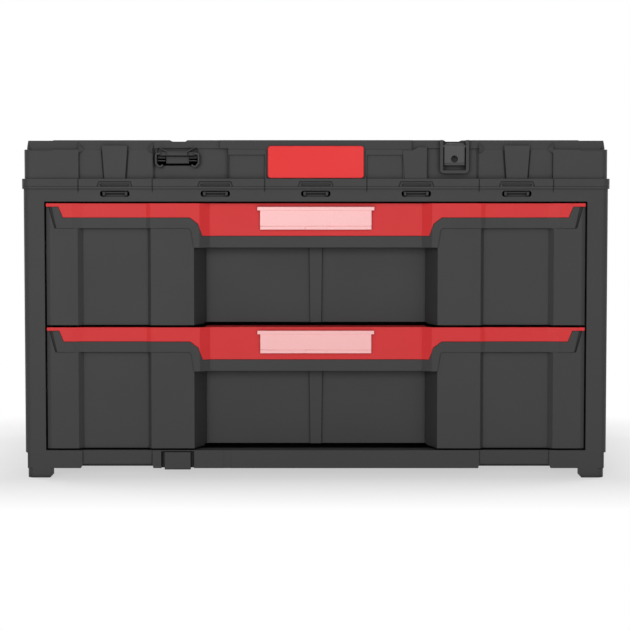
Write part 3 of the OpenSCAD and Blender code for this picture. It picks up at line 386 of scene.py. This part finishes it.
# %% Round the mouldings that show
# radius of each one's edges, in millimetres
edge_radius = {"cabinet_shell": 0.35, "top_cover": 0.25, "upper_tub": 0.35, "lower_tub": 0.35,
               "upper_grip_trim": 0.4, "lower_grip_trim": 0.4, "name_plate": 0.5, "coupler_bracket": 0.25,
               "stack_hook": 0.4, "stacking_flap": 0.35, "carry_handle": 0.8, "handle_grip": 0.6,
               "upper_label_cover": 0.2, "lower_label_cover": 0.2}
for name, radius in edge_radius.items():
    soft_copy(name, radius * MM)

# %% [markdown]
# ## Floor
# The box stands in front of plain white. A curved paper backdrop would need much light to turn white, and
# that light would also fall on the box. So the floor is pale and glows by itself: fully, and so plain
# white, from 0.2 metres outside the box's footprint, and only in part at its foot, where the shadow shows.
# The glow is there only for rays that the eye follows, straight, in a reflection or through something
# clear, and lights nothing. A point's distance from the footprint is worked out from its place: made
# positive, less half the box, and never under zero.

# %% Rays that the eye follows
def eye_ray(tree):
    path = add(tree, "ShaderNodeLightPath").outputs
    mirrored = add(tree, "ShaderNodeMath", links={0: path["Is Camera Ray"], 1: path["Is Glossy Ray"]},
                   operation="MAXIMUM")
    cleared = add(tree, "ShaderNodeMath", links={0: mirrored.outputs[0], 1: path["Is Transmission Ray"]},
                  operation="MAXIMUM")
    return cleared.outputs[0]


# %% Pale floor
FLOOR_RADIUS = 4.0
FLOOR_DROP = 0.2 * MM        # the feet stand this little above it, so that no faces coincide
SHADOW_REACH = 0.2           # metres from the box's footprint to the plain white floor
SHADOW_SHARE = 0.55          # share of white in the shadow at the box's foot


def floor_material():
    material, tree = new_material("studio_floor")
    half_box = (cad_box[1][0], cad_box[1][1], 0.0)
    place = add(tree, "ShaderNodeTexCoord").outputs["Object"]
    quarter = add(tree, "ShaderNodeVectorMath", links={0: place}, operation="ABSOLUTE")
    beyond = add(tree, "ShaderNodeVectorMath", {1: half_box}, {0: quarter.outputs[0]}, operation="SUBTRACT")
    outside = add(tree, "ShaderNodeVectorMath", {1: (0.0, 0.0, 0.0)}, {0: beyond.outputs[0]},
                  operation="MAXIMUM")
    reach = add(tree, "ShaderNodeVectorMath", links={0: outside.outputs[0]}, operation="LENGTH")
    fade = add(tree, "ShaderNodeMapRange", {"From Max": SHADOW_REACH, "To Min": SHADOW_SHARE},
               {"Value": reach.outputs["Value"]})
    share = add(tree, "ShaderNodeMath", links={0: eye_ray(tree), 1: fade.outputs[0]}, operation="MULTIPLY")
    matt = add(tree, "ShaderNodeBsdfDiffuse", {"Color": linear("#F4F4F4")})
    white = add(tree, "ShaderNodeEmission", {"Color": WHITE, "Strength": 1.0})
    paper = add(tree, "ShaderNodeMixShader",
                links={0: share.outputs[0], 1: matt.outputs[0], 2: white.outputs[0]})
    finish_material(tree, paper)
    return material


bpy.ops.object.select_all(action="DESELECT")
bpy.ops.mesh.primitive_circle_add(vertices=96, radius=FLOOR_RADIUS, fill_type="NGON",
                                  location=(0, 0, -FLOOR_DROP))
floor = bpy.context.object
floor.name = "floor"
floor.data.materials.append(floor_material())
print("floor laid", 2 * FLOOR_RADIUS, "metres across")

# %% [markdown]
# ## World and lamps
# A photographer lights such a box with soft boxes from in front, so that the grained faces keep one even
# tone. A key lamp at the left and a wider one at the right light the front, and the facets that turn away
# from them stay darker. A sun would be quicker to set but has hard shadows, so the lamps are rectangles.
# Two more behind the sides, one on top and one at the back show the box from all round. The world adds a
# little light of its own and shows as plain white, by the same kind of ray as the floor.

# %% World
AMBIENT = 0.12

world = bpy.data.worlds.new("studio")
bpy.context.scene.world = world
world.use_nodes = True
sky = world.node_tree
sky.nodes.clear()
ambient = add(sky, "ShaderNodeBackground", {"Color": WHITE, "Strength": AMBIENT})
backdrop = add(sky, "ShaderNodeBackground", {"Color": WHITE, "Strength": 1.0})
shown = add(sky, "ShaderNodeMixShader",
            links={0: eye_ray(sky), 1: ambient.outputs[0], 2: backdrop.outputs[0]})
add(sky, "ShaderNodeOutputWorld", links={"Surface": shown.outputs[0]})
print("ambient light", AMBIENT)

# %% Lamps
LAMP_AIM = Vector((0.0, 0.0, 0.16))     # the middle of the box


def lamp(name, place, size, power):
    data = bpy.data.lights.new(name, "AREA")
    data.shape = "RECTANGLE"
    data.size, data.size_y = size
    data.energy = power
    stand = bpy.data.objects.new(name, data)
    bpy.context.scene.collection.objects.link(stand)
    stand.location = place
    stand.rotation_euler = (LAMP_AIM - Vector(place)).to_track_quat("-Z", "Y").to_euler()


# place and size in metres, power in watts
lamp("key_lamp", (-0.8, -2.75, 0.65), (1.3, 1.0), 30)
lamp("front_lamp", (0.7, -2.75, 0.5), (2.2, 0.9), 24)
lamp("top_lamp", (0.0, 0.5, 2.4), (2.0, 1.2), 8)
lamp("right_lamp", (2.3, 1.6, 1.2), (1.4, 1.2), 34)
lamp("left_lamp", (-2.3, 1.6, 1.2), (1.4, 1.2), 34)
lamp("back_lamp", (0.6, 2.4, 1.2), (1.6, 1.2), 5)
print("lamps", len(bpy.data.lights))

# %% [markdown]
# ## Camera
# The photograph was taken straight from the front with a long lens. The camera stands nearly two metres
# away and a little above the drawers, and looks down by about three degrees: that is why the front narrows
# by a hair towards the feet, and why the tops of the grips and of the sill just show. A parallel view
# would lose both. The lens follows from how much of the front the photograph spans, so the distance can
# change and the box keeps its size in the picture.

# %% Camera
PHOTO_WIDTH = 0.629          # metres of the box's front plane that the photograph spans
FRONT_PLANE = cad_box[0][1] + 1.5 * MM       # just behind the box's foremost point
AIM_ACROSS = -0.8 * MM       # what the photograph's middle shows, from the box's own middle
AIM_UP = 163.4 * MM          # and from the floor
CAMERA_DISTANCE = 1.9
CAMERA_TILT = math.radians(3.3)
SENSOR_WIDTH = 36.0          # millimetres

camera_data = bpy.data.cameras.new("camera")
camera_data.sensor_width = SENSOR_WIDTH
camera_data.sensor_fit = "HORIZONTAL"
camera_data.lens = SENSOR_WIDTH * CAMERA_DISTANCE / PHOTO_WIDTH
camera = bpy.data.objects.new("camera", camera_data)
bpy.context.scene.collection.objects.link(camera)
back_off = Vector((0, -math.cos(CAMERA_TILT), math.sin(CAMERA_TILT)))
camera.location = Vector((AIM_ACROSS, FRONT_PLANE, AIM_UP)) + CAMERA_DISTANCE * back_off
camera.rotation_euler = (math.radians(90) - CAMERA_TILT, 0, 0)
bpy.context.scene.camera = camera
bpy.context.scene.view_settings.view_transform = "Standard"
print("lens", round(camera_data.lens, 1), "mm")
